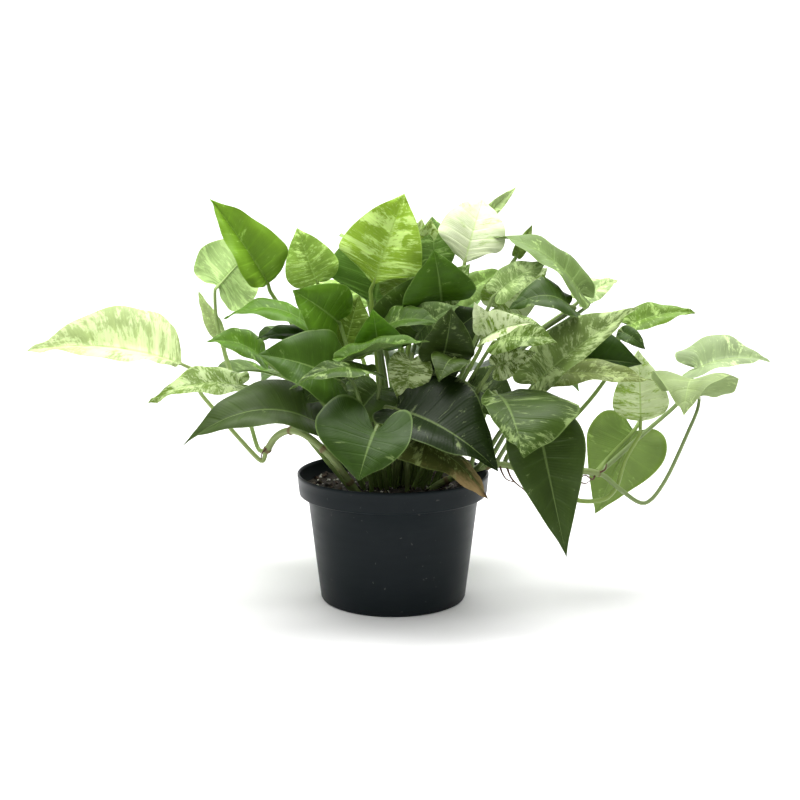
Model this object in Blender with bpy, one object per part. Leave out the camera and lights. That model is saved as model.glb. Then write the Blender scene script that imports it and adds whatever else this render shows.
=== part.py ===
"""A potted pothos: a nursery pot, its soil, the stems, and the leaves, each a blade grown with its stalk.

Metres, +Z up. The origin is the middle of the pot's base, on the surface it stands on, and -Y is the front.
"""

from collections import namedtuple
from math import cos, pi, radians, sin

import bmesh
import bpy
from mathutils import Vector

MM = 0.001
GAP = 0.3 * MM

# Pot: a 6 inch nursery pot
POT_HEIGHT = 102 * MM
RIM_RADIUS = 76 * MM
BASE_RADIUS = 58 * MM
COLLAR_HEIGHT = 17 * MM
COLLAR_TAPER = 1.5 * MM
WALL = 1.2 * MM
FLOOR = 2 * MM
BODY_TOP_RADIUS = 68 * MM
POT_SIDES = 48
DRAIN_HOLES = 8
DRAIN_RADIUS = 3.5 * MM
DRAIN_RING_RADIUS = 50 * MM
DRAIN_SIDES = 8
RIM_ROUND = 1 * MM
POT_COLOR = (0.012, 0.02, 0.024)
POT_ROUGHNESS = 0.45

# Soil
SOIL_DEPTH_BELOW_RIM = 12 * MM
SOIL_TOP = POT_HEIGHT - SOIL_DEPTH_BELOW_RIM
SOIL_DOME = 2 * MM
SOIL_SIDES = 32
SOIL_COLOR = (0.012, 0.009, 0.007)
SOIL_ROUGHNESS = 0.95

# Leaves. The blade's outline runs from the sinus round a lobe to the tip: (share of the length, share of the half
# width, how far a lobe draws it back) at the end of each side vein. VEIN_STARTS is where the vein leaves the midrib.
OUTLINE = [
    (0.0, 0.05, 0.0),
    (0.04, 0.40, 0.14),
    (0.12, 0.80, 0.16),
    (0.24, 1.0, 0.04),
    (0.46, 0.86, 0.0),
    (0.72, 0.52, 0.0),
    (0.90, 0.18, 0.0),
    (1.0, 0.0, 0.0),
]
VEIN_STARTS = [0.0, 0.02, 0.07, 0.18, 0.36, 0.60, 0.84, 1.0]
STEPS_ACROSS = 2
LOBE_DIP = 1.0
LOBE_BOW = 3
BLADE_THICKNESS = 0.9 * MM
STALK_SIDES = 6
STALK_FOOT_RADIUS = 2.2 * MM
STALK_END_RADIUS = 1.6 * MM
STALK_FOOT_HEIGHT = SOIL_TOP + SOIL_DOME + 1.5 * MM
STALK_FOOT_SHARE = 0.24
NECK_BACK = 0.10
NECK_BELOW = 0.06
NECK_END = 0.25
NECK_SPREAD = 0.35
BEND_PLACE = 0.38
BEND_HEIGHT = 0.62
TIP_THINNING = 0.6
STEPS_PER_SPAN = 2
SLOPE_LIMIT = 1.0
LEAF_ROUGHNESS = 0.4
LEAF_TONES = {
    "green": (0.06, 0.16, 0.02),
    "dark": (0.02, 0.07, 0.015),
    "lime": (0.18, 0.32, 0.05),
    "pale": (0.42, 0.52, 0.2),
    "wilted": (0.22, 0.14, 0.05),
}

Leaf = namedtuple("Leaf", "joint tip faces width fold arch left right lobe taper twist tone stalk")


def leaf(joint, tip, faces, width, fold, arch, left=1, right=1, lobe=1, taper=0, twist=0, tone="green", stalk=None):
    """One leaf. joint and tip are the blade's ends and stalk lists its stalk's points before the joint, in
    millimetres. faces is the way its upper side looks. width and arch are shares of its length, fold is how
    far each half is raised and twist how far the tip is rolled, in degrees. left and right scale the two
    halves, lobe says how far the lobes reach back, and taper narrows the blade towards its tip. tone names
    its colour in LEAF_TONES."""
    return Leaf(joint, tip, faces, width, fold, arch, left, right, lobe, taper, twist, tone, stalk)


LEAVES = {
    # Low front
    "leaf_front_heart": leaf(
        (-12, -86, 152), (-24, -110, 119), (-0.1, -0.9, 0.3), 1.7, 4, 0.12, left=0.75, right=1.2, lobe=3.5,
        stalk=[(-5, -20, 94), (-10, -48, 135)],
    ),
    "leaf_front_dark": leaf(
        (2, -52, 161), (77, -88, 121), (0.2, -0.6, 0.75), 0.95, 12, 0.1, left=1.05, right=0.7, tone="dark",
        stalk=[(1, -13, 94), (1, -30, 140)],
    ),
    "leaf_wilting": leaf(
        (8, -38, 137), (72, -66, 94), (0.2, -0.5, 0.85), 0.5, -20, 0.15, tone="wilted",
        stalk=[(11, -24, 94), (10, -28, 118)],
    ),
    "leaf_front_pale_tip": leaf(
        (-15, -50, 188), (-74, -92, 182), (0, -0.5, 0.9), 0.5, 10, 0.15, right=0.5,
        stalk=[(-10, -16, 94), (-12, -30, 150)],
    ),
    "leaf_glossy_right": leaf(
        (77, -62, 174), (92, -122, 138), (0, -0.5, 0.85), 1.1, -12, 0.15, left=1.35, right=0.35, taper=-0.4,
        tone="dark", stalk=[(60, -24, 109), (66, -42, 145)],
    ),
    "leaf_hanging_right": leaf(
        (109, -52, 150), (130, -72, 52), (-0.1, -1, 0), 0.7, 6, 0.04, right=0.85, lobe=0.6, taper=0.5, tone="dark",
        stalk=[(69, -20, 113), (84, -32, 142), (101, -40, 160)],
    ),
    # Left
    "leaf_left_drooping": leaf(
        (-57, -35, 147), (-155, -75, 137), (0, -0.55, 0.85), 0.8, 8, 0.22, left=0.7, right=0.9, taper=0.4,
        tone="dark", stalk=[(-24, -16, 94), (-40, -24, 125)],
    ),
    "leaf_left_mottled": leaf(
        (-117, -8, 172), (-188, -30, 161), (0, -0.4, 0.9), 0.55, 10, 0.12,
        stalk=[(-36, -18, 95), (-58, -14, 121), (-76, -10, 142), (-98, -8, 162)],
    ),
    "leaf_left_far": leaf(
        (-166, 0, 188), (-287, 0, 198), (0, -0.42, 0.9), 0.78, 25, 0.08, left=0.65, right=0.84, lobe=0.1, twist=18,
        tone="pale", stalk=[(-105, 2, 110), (-121, 2, 127), (-141, 2, 151), (-153, 2, 167)],
    ),
    "leaf_left_sheen": leaf(
        (-40, -40, 180), (-98, -75, 205), (0, -0.8, 0.6), 0.85, 8, 0.1, right=1.1, tone="dark",
        stalk=[(-13, -13, 94), (-28, -30, 140)],
    ),
    "leaf_left_long_tip": leaf((-62, -20, 219), (-129, -30, 226), (0, -0.4, 0.9), 0.5, 0, 0.2),
    "leaf_left_low_tip": leaf((-103, 0, 193), (-143, -20, 208), (0, -0.6, 0.8), 0.8, 10, 0.15),
    "leaf_left_upper": leaf(
        (-42, -21, 223), (-75, -41, 249), (0.2, -1, 0.3), 1.1, 10, 0.1, stalk=[(-9, -7, 94), (-26, -22, 170)],
    ),
    "leaf_left_lime": leaf(
        (-60, 20, 250), (-76, 25, 293), (0, -1, 0.2), 0.95, 10, 0.05, lobe=0.5, tone="lime",
        stalk=[(-35, 11, 142), (-46, 15, 195)],
    ),
    "leaf_left_folded": leaf(
        (-98, 10, 250), (-141, 0, 316), (0.6, -1, 0.3), 0.75, 27, 0.05, left=0.8, right=0.9, lobe=0.2,
        stalk=[(-20, 20, 94), (-48, 21, 165)],
    ),
    "leaf_left_thin": leaf(
        (-139, 20, 247), (-104, 60, 286), (0.1, 0.9, 0.3), 0.9, 5, 0.05, tone="pale",
        stalk=[(-108, 9, 118), (-113, 12, 133), (-120, 16, 156), (-130, 20, 179), (-138, 22, 205), (-141, 20, 225)],
    ),
    # Centre
    "leaf_top_streaked": leaf(
        (-15, 0, 251), (9, 5, 320), (0, -1, 0.1), 0.82, 12, 0.05, left=1.1, lobe=-0.4, taper=-0.25, tone="lime",
        stalk=[(-9, 4, 94), (-12, 3, 180)],
    ),
    "leaf_top_blue": leaf(
        (-15, 30, 232), (-2, 45, 308), (0, -1, 0.1), 0.95, 5, 0.05, left=1.15, lobe=-0.3,
        stalk=[(1, 15, 153), (-6, 24, 195)],
    ),
    "leaf_top_yellow": leaf(
        (8, 22, 240), (23, 34, 300), (0.3, -1, 0.1), 0.85, 15, 0.05, tone="pale", stalk=[(9, 12, 94), (8, 19, 170)],
    ),
    "leaf_centre_green": leaf(
        (-11, -27, 203), (-15, -42, 235), (0, -0.9, 0.4), 1.1, 5, 0.2, stalk=[(-3, -9, 94), (-5, -16, 150)],
    ),
    "leaf_centre_edge": leaf(
        (-37, -52, 197), (28, -55, 212), (0, -0.2, 1), 0.4, 30, 0.05,
        stalk=[(-17, -24, 94), (-22, -34, 150), (-31, -44, 181)],
    ),
    "leaf_centre_wavy": leaf(
        (-8, -18, 219), (36, -39, 224), (0, -0.6, 0.8), 0.9, 10, 0.12, left=0.75, right=0.65, lobe=0.5, tone="dark",
        stalk=[(-3, -2, 94), (-4, -7, 160)],
    ),
    "leaf_centre_sheen": leaf(
        (-4, -2, 212), (22, 4, 258), (0.2, -1, 0.1), 0.8, 10, 0.05, tone="dark", stalk=[(4, 2, 94), (2, 1, 160)],
    ),
    "leaf_centre_mottled": leaf(
        (-38, -10, 200), (-26, -4, 242), (0, -1, 0.2), 0.95, 5, 0.05, stalk=[(-15, 2, 94), (-26, -3, 155)],
    ),
    "leaf_centre_bright": leaf(
        (38, -4, 236), (31, -21, 278), (0, -1, 0.4), 1.25, 8, 0.15, left=1.1, right=0.95, lobe=0.4,
        stalk=[(16, -6, 94), (28, -11, 170)],
    ),
    "leaf_centre_dark": leaf(
        (29, 8, 197), (72, 14, 230), (0, -1, 0.3), 1.0, 5, 0.1, tone="dark", stalk=[(20, 3, 94), (24, 8, 150)],
    ),
    "leaf_centre_drooping": leaf((46, -38, 197), (34, -64, 183), (0, -0.6, 0.8), 0.95, 5, 0.2, tone="dark"),
    # Top right
    "leaf_top_grey": leaf(
        (33, 20, 266), (31, 30, 302), (0, -1, 0.1), 0.9, 10, 0.05, stalk=[(14, 8, 94), (22, 16, 190)],
    ),
    "leaf_top_white": leaf(
        (56, 6, 267), (72, 40, 315), (0, -1, 0.5), 0.82, 10, 0.15, lobe=-0.2, taper=-0.3, tone="pale",
        stalk=[(10, -1, 94), (30, -1, 190)],
    ),
    "leaf_right_light": leaf(
        (53, 22, 238), (91, 35, 258), (0, -0.7, 0.6), 0.6, 10, 0.1, tone="lime", stalk=[(20, 13, 94), (38, 18, 180)],
    ),
    "leaf_right_boat": leaf(
        (80, -10, 244), (121, -5, 268), (0, -0.7, 0.7), 0.6, 10, 0.1, tone="pale", stalk=[(28, 0, 94), (50, -5, 170)],
    ),
    "leaf_right_cream": leaf(
        (81, 12, 230), (122, 17, 262), (0, -1, 0.3), 0.8, 5, 0.1, tone="pale", stalk=[(43, 12, 143), (60, 13, 190)],
    ),
    "leaf_right_arching": leaf((146, -8, 242), (77, 5, 287), (0.4, -0.5, 0.8), 0.5, 10, 0.15),
    "leaf_right_arched_dark": leaf((134, -28, 236), (86, -42, 234), (0, -0.6, 0.8), 0.8, 5, 0.25, tone="dark"),
    "leaf_right_mottled": leaf((148, 20, 236), (180, 30, 251), (0, -0.6, 0.8), 0.7, 10, 0.1),
    "leaf_right_pale": leaf(
        (67, -66, 216), (100, -84, 229), (0, -0.7, 0.6), 0.8, 30, 0.1, tone="pale",
        stalk=[(17, -16, 94), (50, -28, 172), (65, -50, 206)],
    ),
    "leaf_right_dark": leaf(
        (78, -44, 211), (120, -70, 213), (0, -0.8, 0.6), 0.8, 10, 0.15, right=0.8, tone="dark",
        stalk=[(22, -6, 94), (50, -18, 160)],
    ),
    "leaf_right_cupped": leaf(
        (76, -53, 193), (106, -63, 205), (0, -0.9, 0.4), 0.8, 10, 0.1, left=0.8, tone="pale",
        stalk=[(24, -14, 94), (50, -28, 145)],
    ),
    # Right
    "leaf_right_large": leaf(
        (106, -35, 176), (182, -55, 238), (-0.3, -0.7, 0.6), 0.5, 10, 0.05, left=1.1, right=0.6,
        stalk=[(76, -16, 115), (88, -26, 140)],
    ),
    "leaf_right_shadow": leaf(
        (130, -5, 193), (191, -25, 191), (0, -1, 0.3), 0.8, 5, 0.1, left=1.2, right=0.5, tone="dark",
        stalk=[(90, -4, 114), (108, -4, 145)],
    ),
    "leaf_right_bright": leaf(
        (185, 10, 217), (239, 10, 227), (0, -0.6, 0.8), 0.5, 10, 0.1,
        stalk=[(99, 1, 113), (121, 5, 122), (142, 10, 141), (162, 12, 164), (175, 12, 186)],
    ),
    "leaf_right_narrow": leaf(
        (117, -25, 183), (197, -45, 181), (0, -0.5, 0.8), 0.5, 10, 0.05, taper=0.4, tone="pale",
        stalk=[(83, -11, 115), (98, -16, 145)],
    ),
    "leaf_vine_front": leaf(
        (243, 12, 160), (219, -48, 155), (-0.08, -0.1, 1), 1.05, 8, 0.32, tone="lime",
        stalk=[(171, 15, 94), (183, 12, 84), (203, 10, 73), (219, 10, 92), (237, 12, 133), (243, 13, 148)],
    ),
    "leaf_vine_far": leaf(
        (243, 25, 180), (303, 23, 186), (0, -0.4, 0.9), 0.9, 20, 0.12, lobe=1.8, tone="lime",
        stalk=[(172, 24, 99), (200, 30, 123), (233, 34, 152), (242, 31, 170)],
    ),
    "leaf_vine_heart": leaf(
        (200, 23, 138), (198, 33, 195), (0, -1, 0), 0.8, 5, 0.03, lobe=0.1, tone="pale",
        stalk=[(140, 20, 82), (151, 20, 73), (171, 20, 74), (181, 20, 84), (188, 20, 107), (199, 20, 128)],
    ),
    "leaf_vine_lime": leaf(
        (199, 44, 127), (166, 30, 59), (0, 1, -0.1), 0.95, 5, 0.03, taper=0.35, tone="lime",
        stalk=[(172, 28, 102), (182, 32, 112), (195, 33, 126)],
    ),
    # Back
    "leaf_back_low_left": leaf((-60, 85, 165), (-120, 150, 150), (-0.1, 0.4, 0.9), 0.8, 8, 0.12),
    "leaf_back_low_middle": leaf(
        (0, 95, 180), (5, 180, 160), (0, 0.4, 0.9), 0.8, 8, 0.12, stalk=[(0, 47, 137), (0, 70, 162)],
    ),
    "leaf_back_low_right": leaf(
        (60, 90, 168), (115, 155, 150), (0.1, 0.4, 0.9), 0.8, 8, 0.12, tone="dark",
        stalk=[(20, 24, 94), (34, 46, 140)],
    ),
    "leaf_back_high_left": leaf((-40, 60, 225), (-70, 130, 240), (0, -0.1, 1), 0.8, 8, 0.12, tone="lime"),
    "leaf_back_high_right": leaf(
        (40, 65, 220), (60, 135, 235), (0, -0.1, 1), 0.8, 8, 0.12, stalk=[(14, 20, 94), (26, 34, 170)],
    ),
}

# Stems: the points that each passes through, in millimetres
STEM_RADIUS = 3 * MM
STEMS = {
    "stem_trailing_left": [
        (-27, -30, 95), (-48, -34, 121), (-66, -30, 136), (-80, -18, 138), (-92, -8, 131), (-101, 1, 117),
    ],
    "stem_trailing_right": [
        (38, -12, 95), (61, -12, 105), (80, -9, 109), (96, -5, 106), (111, 0, 96), (134, 8, 93), (152, 12, 99),
        (165, 15, 96),
    ],
    "stem_middle": [(2, 10, 95), (2, 12, 120), (1, 15, 150)],
    "stem_left": [(-24, 8, 95), (-28, 9, 115), (-35, 11, 139)],
    "stem_right": [(26, 6, 95), (32, 8, 115), (42, 12, 140)],
    "stem_back": [(0, 27, 95), (0, 34, 115), (0, 46, 134)],
}


def clear_scene():
    for obj in list(bpy.data.objects):
        bpy.data.objects.remove(obj, do_unlink=True)


def finish(name, color, roughness):
    """A material: its colour and roughness, with nothing metallic."""
    material = bpy.data.materials.new(name)
    material.use_nodes = True
    shader = material.node_tree.nodes["Principled BSDF"]
    shader.inputs["Base Color"].default_value = (*color, 1)
    shader.inputs["Roughness"].default_value = roughness
    shader.inputs["Metallic"].default_value = 0
    material.diffuse_color = (*color, 1)
    return material


def add_object(name, mesh, material):
    obj = bpy.data.objects.new(name, mesh)
    bpy.context.scene.collection.objects.link(obj)
    mesh.materials.append(material)
    return obj


def mesh_of(shape, name):
    """The bmesh as a mesh with its faces out, shaded smooth except at its hard edges."""
    bmesh.ops.recalc_face_normals(shape, faces=shape.faces)
    mesh = bpy.data.meshes.new(name)
    shape.to_mesh(mesh)
    shape.free()
    mesh.shade_smooth()
    mesh.set_sharp_from_angle(angle=radians(50))
    return mesh


def turned(name, profile, sides):
    """A solid of revolution about Z. The profile is a list of (radius, height) from axis to axis."""
    shape = bmesh.new()
    rings = []
    for radius, height in profile:
        if radius == 0:
            rings.append([shape.verts.new((0, 0, height))] * sides)
            continue
        turn = [2 * pi * side / sides for side in range(sides)]
        rings.append([shape.verts.new((radius * cos(a), radius * sin(a), height)) for a in turn])
    for lower, upper in zip(rings, rings[1:]):
        for side in range(sides):
            after = (side + 1) % sides
            add_face(shape, [lower[side], lower[after], upper[after], upper[side]])
    return mesh_of(shape, name)


def add_face(shape, corners):
    """A face from corners of which some may be the same vertex."""
    own = []
    for corner in corners:
        if corner not in own:
            own.append(corner)
    if len(own) > 2:
        shape.faces.new(own)


def wall_radius(height):
    """The outside radius of the pot's body below its collar."""
    share = height / (POT_HEIGHT - COLLAR_HEIGHT)
    return BASE_RADIUS + (BODY_TOP_RADIUS - BASE_RADIUS) * share


def drain_cutter():
    """The hidden cylinders that cut the drain holes, on a ring round the pot's floor."""
    shape = bmesh.new()
    for hole in range(DRAIN_HOLES):
        turn = 2 * pi * (hole + 0.5) / DRAIN_HOLES
        made = bmesh.ops.create_cone(
            shape, cap_ends=True, segments=DRAIN_SIDES, radius1=DRAIN_RADIUS, radius2=DRAIN_RADIUS, depth=4 * FLOOR
        )
        place = (DRAIN_RING_RADIUS * cos(turn), DRAIN_RING_RADIUS * sin(turn), FLOOR / 2)
        bmesh.ops.translate(shape, verts=made["verts"], vec=place)
    mesh = bpy.data.meshes.new("drain_cutter")
    shape.to_mesh(mesh)
    shape.free()
    cutter = bpy.data.objects.new("drain_cutter", mesh)
    bpy.context.scene.collection.objects.link(cutter)
    cutter.hide_render = True
    cutter.display_type = "WIRE"
    return cutter


def build_pot():
    """A thin tapered pot with a tall collar at its rim and drain holes in its floor."""
    shoulder = POT_HEIGHT - COLLAR_HEIGHT
    collar_low = RIM_RADIUS - COLLAR_TAPER
    outside = [
        (0, 0),
        (BASE_RADIUS - FLOOR, 0),
        (BASE_RADIUS, FLOOR),
        (BODY_TOP_RADIUS, shoulder),
        (collar_low, shoulder),
        (RIM_RADIUS, POT_HEIGHT - RIM_ROUND),
        (RIM_RADIUS - RIM_ROUND / 2, POT_HEIGHT),
    ]
    inside = [
        (RIM_RADIUS - WALL, POT_HEIGHT),
        (collar_low - WALL, shoulder + WALL),
        (BODY_TOP_RADIUS - WALL, shoulder + WALL),
        (wall_radius(FLOOR) - WALL, FLOOR),
        (0, FLOOR),
    ]
    mesh = turned("pot", outside + inside, POT_SIDES)
    pot = add_object("pot", mesh, finish("pot_plastic", POT_COLOR, POT_ROUGHNESS))
    holes = pot.modifiers.new("drain_holes", "BOOLEAN")
    holes.operation = "DIFFERENCE"
    holes.object = drain_cutter()


def build_soil():
    """The soil fills the pot, its top a little domed."""
    shoulder = POT_HEIGHT - COLLAR_HEIGHT
    low = FLOOR + GAP
    side_gap = WALL + GAP
    profile = [
        (0, low),
        (wall_radius(low) - side_gap, low),
        (BODY_TOP_RADIUS - side_gap, shoulder + WALL + GAP),
        (RIM_RADIUS - COLLAR_TAPER - side_gap, shoulder + WALL + GAP),
        (RIM_RADIUS - COLLAR_TAPER - side_gap, SOIL_TOP),
        (0.5 * RIM_RADIUS, SOIL_TOP + SOIL_DOME),
        (0, SOIL_TOP + SOIL_DOME),
    ]
    mesh = turned("potting_soil", profile, SOIL_SIDES)
    add_object("potting_soil", mesh, finish("soil", SOIL_COLOR, SOIL_ROUGHNESS))


def smooth_path(points, steps):
    """Points along a smooth curve through the given ones. Slopes are kept short on a short span, so it can't loop."""
    ends = [2 * points[0] - points[1]] + points + [2 * points[-1] - points[-2]]
    path = []
    for a, b, c, d in zip(ends, ends[1:], ends[2:], ends[3:]):
        most = SLOPE_LIMIT * (c - b).length
        leave, arrive = [slope * min(1, most / slope.length) for slope in ((c - a) / 2, (d - b) / 2)]
        for step in range(steps):
            t = step / steps
            path.append(
                b * (2 * t**3 - 3 * t**2 + 1)
                + leave * (t**3 - 2 * t**2 + t)
                + c * (3 * t**2 - 2 * t**3)
                + arrive * (t**3 - t**2)
            )
    return path + [points[-1]]


def blade_frame(spec):
    """The blade's joint, length, and directions: along the midrib, to its right, and out of its upper side."""
    joint = Vector(spec.joint) * MM
    chord = Vector(spec.tip) * MM - joint
    along = chord.normalized()
    faces = Vector(spec.faces)
    up = (faces - along * faces.dot(along)).normalized()
    return joint, chord.length, along, along.cross(up), up


def blade_point(spec, frame, share, across):
    """A point of the blade: share of its length from the joint, and across from -1 to 1 of its half width."""
    joint, length, along, side, up = frame
    half_width = 0.5 * spec.width * length * across * (spec.right if across > 0 else spec.left)
    half_width *= 1 - spec.taper * share
    turn = radians(spec.fold)
    flat = half_width * cos(turn)
    lift = abs(half_width) * sin(turn)
    roll = radians(spec.twist) * share
    flat, lift = flat * cos(roll) - lift * sin(roll), flat * sin(roll) + lift * cos(roll)
    hump = 4 * share * (1 - share) if share > 0 else LOBE_DIP * share
    lift += spec.arch * length * hump
    return joint + along * share * length + side * flat + up * lift


def stalk_points(spec, frame):
    """The stalk's route from its foot to the joint, which it reaches through a short neck under the blade."""
    joint, length, along, side, up = frame
    neck = joint - (along * NECK_BACK + up * NECK_BELOW) * length
    if spec.stalk:
        return [Vector(point) * MM for point in spec.stalk] + [neck, joint]
    foot = Vector((joint.x * STALK_FOOT_SHARE, joint.y * STALK_FOOT_SHARE, STALK_FOOT_HEIGHT))
    bend = foot.lerp(neck, BEND_PLACE)
    bend.z = foot.z + BEND_HEIGHT * (neck.z - foot.z)
    return [foot, bend, neck, joint]


def build_leaf(name, spec, material):
    """The blade as a thin lens of rows along its side veins, closed at its margins, with its stalk grown on.
    Both skins are cut into triangles the same way, so that they can't cross."""
    frame = blade_frame(spec)
    joint, length, along, side, up = frame
    shape = bmesh.new()
    last = len(OUTLINE) - 1
    veins = []
    for vein, ((end_share, end_across, lobe_reach), start) in enumerate(zip(OUTLINE, VEIN_STARTS)):
        row = {}
        for step in range(-STEPS_ACROSS, STEPS_ACROSS + 1):
            out = abs(step) / STEPS_ACROSS
            if vein == 0 and step:
                out = 1
            end = end_share - lobe_reach * spec.lobe
            share = start + (end - start) * (out**LOBE_BOW if end < start else out)
            across = end_across * out * (1 if step > 0 else -1)
            place = blade_point(spec, frame, share, across)
            if out == 1 or vein == last:
                key = "tip" if vein == last else (vein, step > 0)
                vertex = row.get(key) or shape.verts.new(place)
                row[key] = vertex
                row[step] = (vertex, vertex)
                continue
            half = 0.5 * BLADE_THICKNESS * (1 - out**2) * (1 - TIP_THINNING * share)
            row[step] = (shape.verts.new(place + up * half), shape.verts.new(place - up * half))
        if vein == last:
            tip = row["tip"]
            row = {step: (tip, tip) for step in range(-STEPS_ACROSS, STEPS_ACROSS + 1)}
        veins.append(row)
    for row, after in zip(veins, veins[1:]):
        for step in range(-STEPS_ACROSS, STEPS_ACROSS):
            for skin in (0, 1):
                near, far = row[step][skin], row[step + 1][skin]
                near_after, far_after = after[step][skin], after[step + 1][skin]
                if step < 0:
                    add_face(shape, [near, far, far_after])
                    add_face(shape, [near, far_after, near_after])
                else:
                    add_face(shape, [near, far, near_after])
                    add_face(shape, [far, far_after, near_after])
    opening = (veins[0][1][0], veins[0][0][0], veins[0][-1][0], veins[0][0][1])
    add_stalk(shape, smooth_path(stalk_points(spec, frame), STEPS_PER_SPAN), side, opening)
    add_object(name, mesh_of(shape, name), material)


def add_stalk(shape, path, side, opening):
    """A tube along the path, closed at its foot and joined at its end to the opening at the blade's joint."""
    right, top, left, bottom = opening
    joint = path[-1]
    path = path[:-1] + [joint.lerp(path[-2], NECK_END)]
    room = min((right.co - joint).length, (left.co - joint).length)
    rings = []
    across = side
    for index in range(len(path) - 1, -1, -1):
        heading = (path[min(index + 1, len(path) - 1)] - path[max(index - 1, 0)]).normalized()
        across = (across - heading * across.dot(heading)).normalized()
        over = across.cross(heading)
        radius = STALK_FOOT_RADIUS + (STALK_END_RADIUS - STALK_FOOT_RADIUS) * index / (len(path) - 1)
        radius = min(radius, room + NECK_SPREAD * (path[index] - joint).length)
        turns = [2 * pi * corner / STALK_SIDES for corner in range(STALK_SIDES)]
        rings.append([shape.verts.new(path[index] + radius * (across * cos(a) + over * sin(a))) for a in turns])
    for ring, after in zip(rings, rings[1:]):
        for corner in range(STALK_SIDES):
            beside = (corner + 1) % STALK_SIDES
            add_face(shape, [ring[corner], ring[beside], after[beside], after[corner]])
    shape.faces.new(rings[-1])
    end = rings[0]
    for corners in (
        [end[0], end[1], top, right],
        [end[1], end[2], top],
        [end[2], end[3], left, top],
        [end[3], end[4], bottom, left],
        [end[4], end[5], bottom],
        [end[5], end[0], right, bottom],
    ):
        shape.faces.new(corners)


def build_stem(name, points, material):
    """A stem as a round tube along a smooth curve through its points."""
    curve = bpy.data.curves.new(name, "CURVE")
    curve.dimensions = "3D"
    curve.bevel_depth = STEM_RADIUS
    curve.bevel_resolution = 2
    curve.use_fill_caps = True
    path = smooth_path([Vector(point) * MM for point in points], STEPS_PER_SPAN)
    spline = curve.splines.new("POLY")
    spline.points.add(len(path) - 1)
    for point, place in zip(spline.points, path):
        point.co = (*place, 1)
    add_object(name, curve, material)


def main():
    clear_scene()
    build_pot()
    build_soil()
    tones = {tone: finish("leaf_" + tone, color, LEAF_ROUGHNESS) for tone, color in LEAF_TONES.items()}
    for name, spec in LEAVES.items():
        build_leaf(name, spec, tones[spec.tone])
    stem_green = finish("stem_green", (0.14, 0.22, 0.06), 0.45)
    for name, points in STEMS.items():
        build_stem(name, points, stem_green)


main()
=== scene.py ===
import random
from math import cos, pi, radians, sin

import bmesh
import bpy
from mathutils import Euler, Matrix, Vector, noise


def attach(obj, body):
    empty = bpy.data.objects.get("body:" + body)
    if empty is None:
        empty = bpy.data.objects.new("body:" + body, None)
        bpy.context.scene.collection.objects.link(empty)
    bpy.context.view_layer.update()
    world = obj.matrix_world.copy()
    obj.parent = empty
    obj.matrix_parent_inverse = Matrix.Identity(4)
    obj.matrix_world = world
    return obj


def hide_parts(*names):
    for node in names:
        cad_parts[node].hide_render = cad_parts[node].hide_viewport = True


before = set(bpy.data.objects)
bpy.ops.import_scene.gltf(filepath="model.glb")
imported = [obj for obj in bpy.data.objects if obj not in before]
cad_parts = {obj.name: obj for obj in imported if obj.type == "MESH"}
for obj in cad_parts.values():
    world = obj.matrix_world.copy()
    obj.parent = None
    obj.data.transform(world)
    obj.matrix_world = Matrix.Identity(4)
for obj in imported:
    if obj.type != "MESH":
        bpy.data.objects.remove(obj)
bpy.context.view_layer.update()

mm = 0.001


studio = {
    "cameraPlace": (0.0055, -1.02, 0.328),
    "cameraTilt": 80.6,  # degrees up from straight down
    "lens": 59.04,
    "floorTone": (0.88, 0.88, 0.88),
    "speckTone": (0.90, 0.90, 0.90),
    "floorRough": 0.9,
    "halfWidth": 3.5,
    "front": -2.5,
    "sweepStart": 1.0,
    "sweepRadius": 0.8,
    "sweepSteps": 16,
    "wallTop": 2.6,
    "skyLight": 0.30,
    "lamps": [  # place, what it looks at, size in metres, watts
        ((-0.45, -0.35, 1.45), (0, 0, 0.15), 1.0, 15),
        ((0.5, 0.35, 1.5), (0, 0, 0.15), 1.0, 12),
        ((0.0, 0.55, 2.1), (0, 1.8, 0.6), 1.8, 62),
        ((0.1, -1.5, 1.5), (0, -0.7, 0), 1.4, 4.5),
    ],
}


def addLamp(place, aim, size, watts):
    lamp = bpy.data.objects.new("lamp", bpy.data.lights.new("lamp", "AREA"))
    lamp.data.size = size
    lamp.data.energy = watts
    lamp.location = place
    lamp.rotation_euler = (Vector(aim) - lamp.location).to_track_quat("-Z", "Y").to_euler()
    bpy.context.scene.collection.objects.link(lamp)


def addFloor():  # flat under the plant, and swept up into a wall behind it
    profile = [(studio["front"], 0), (0, 0)]
    radius = studio["sweepRadius"]
    for step in range(studio["sweepSteps"] + 1):
        turn = 0.5 * pi * step / studio["sweepSteps"]
        profile.append((studio["sweepStart"] + radius * sin(turn), radius * (1 - cos(turn))))
    profile.append((studio["sweepStart"] + radius, studio["wallTop"]))
    half = studio["halfWidth"]
    points = [(side * half, y, z) for y, z in profile for side in (-1, 1)]
    faces = [(2 * row, 2 * row + 1, 2 * row + 3, 2 * row + 2) for row in range(len(profile) - 1)]
    mesh = bpy.data.meshes.new("floor")
    mesh.from_pydata(points, [], faces)
    mesh.shade_smooth()
    floor = bpy.data.objects.new("floor", mesh)
    bpy.context.scene.collection.objects.link(floor)
    paint = Paint("floor")
    speck = paint.noise(paint.spot(), 3, 2)
    paint.finish(paint.mix(speck, studio["floorTone"], studio["speckTone"]), studio["floorRough"])
    mesh.materials.append(paint.material)


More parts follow.
